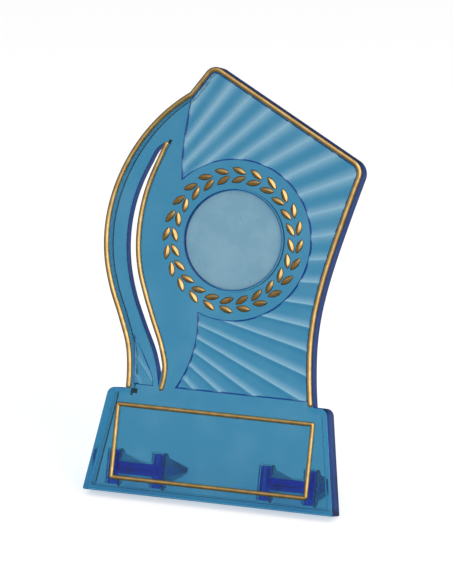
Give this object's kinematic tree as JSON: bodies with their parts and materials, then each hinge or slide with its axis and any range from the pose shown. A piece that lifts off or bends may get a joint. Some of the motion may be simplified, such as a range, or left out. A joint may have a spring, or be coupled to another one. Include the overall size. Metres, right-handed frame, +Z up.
{
  "type": "plaque trophy",
  "caption": "Leaning plaque trophy of clear coloured plastic with a flame slot, fanned rays, laurel wreath round a blank centre, framed blank nameplate and plug-in rear feet.",
  "frame": {"origin": "centre of the trophy's box at the height of the surface that it stands on", "axes": "+Z up, +Y to the back, +X to the right of someone who reads the plaque; the plaque leans back by 16 degrees"},
  "size_m": [0.1338, 0.0696, 0.2139],
  "materials": {
    "blue_plastic": "clear tinted styrene, polished, sky to petrol blue",
    "navy_plastic": "clear plastic in a deep navy tint, polished",
    "gilt_foil": "gold hot-stamping foil over raised plastic, metallic, satin to bright, slightly worn",
    "frosted_disc": "fine matt, pale blue grey"
  },
  "bodies": {
    "plaque": {"plaque_body": "blue_plastic", "centre_disc": "frosted_disc", "rim_bead": "gilt_foil", "flame_bead": "gilt_foil", "nameplate_frame": "gilt_foil", "laurel_leaf_outer_01": "gilt_foil", "laurel_leaf_outer_02": "gilt_foil", "laurel_leaf_outer_03": "gilt_foil", "laurel_leaf_outer_04": "gilt_foil", "laurel_leaf_outer_05": "gilt_foil", "laurel_leaf_outer_06": "gilt_foil", "laurel_leaf_outer_07": "gilt_foil", "laurel_leaf_outer_08": "gilt_foil", "laurel_leaf_outer_09": "gilt_foil", "laurel_leaf_outer_10": "gilt_foil", "laurel_leaf_outer_11": "gilt_foil", "laurel_leaf_outer_12": "gilt_foil", "laurel_leaf_outer_13": "gilt_foil", "laurel_leaf_outer_14": "gilt_foil", "laurel_leaf_outer_15": "gilt_foil", "laurel_leaf_outer_16": "gilt_foil", "laurel_leaf_outer_17": "gilt_foil", "laurel_leaf_outer_18": "gilt_foil", "laurel_leaf_outer_19": "gilt_foil", "laurel_leaf_outer_20": "gilt_foil", "laurel_leaf_outer_21": "gilt_foil", "laurel_leaf_outer_22": "gilt_foil", "laurel_leaf_outer_23": "gilt_foil", "laurel_leaf_outer_24": "gilt_foil", "laurel_leaf_inner_01": "gilt_foil", "laurel_leaf_inner_02": "gilt_foil", "laurel_leaf_inner_03": "gilt_foil", "laurel_leaf_inner_04": "gilt_foil", "laurel_leaf_inner_05": "gilt_foil", "laurel_leaf_inner_06": "gilt_foil", "laurel_leaf_inner_07": "gilt_foil", "laurel_leaf_inner_08": "gilt_foil", "laurel_leaf_inner_09": "gilt_foil", "laurel_leaf_inner_10": "gilt_foil", "laurel_leaf_inner_11": "gilt_foil", "laurel_leaf_inner_12": "gilt_foil", "laurel_leaf_inner_13": "gilt_foil", "laurel_leaf_inner_14": "gilt_foil", "laurel_leaf_inner_15": "gilt_foil", "laurel_leaf_inner_16": "gilt_foil", "laurel_leaf_inner_17": "gilt_foil", "laurel_leaf_inner_18": "gilt_foil", "laurel_leaf_inner_19": "gilt_foil", "laurel_leaf_inner_20": "gilt_foil", "laurel_leaf_inner_21": "gilt_foil", "laurel_leaf_inner_22": "gilt_foil", "laurel_leaf_inner_23": "gilt_foil", "laurel_leaf_inner_24": "gilt_foil"},
    "left_foot": {"foot_left": "navy_plastic"},
    "right_foot": {"foot_right": "navy_plastic"}
  },
  "joints": [
    {"name": "left_foot_pull", "type": "slide", "parent": "plaque", "child": "left_foot", "axis": [0, 0.9613, -0.2756], "range_m": [0, 0.008]},
    {"name": "right_foot_pull", "type": "slide", "parent": "plaque", "child": "right_foot", "axis": [0, 0.9613, -0.2756], "range_m": [0, 0.008]}
  ]
}
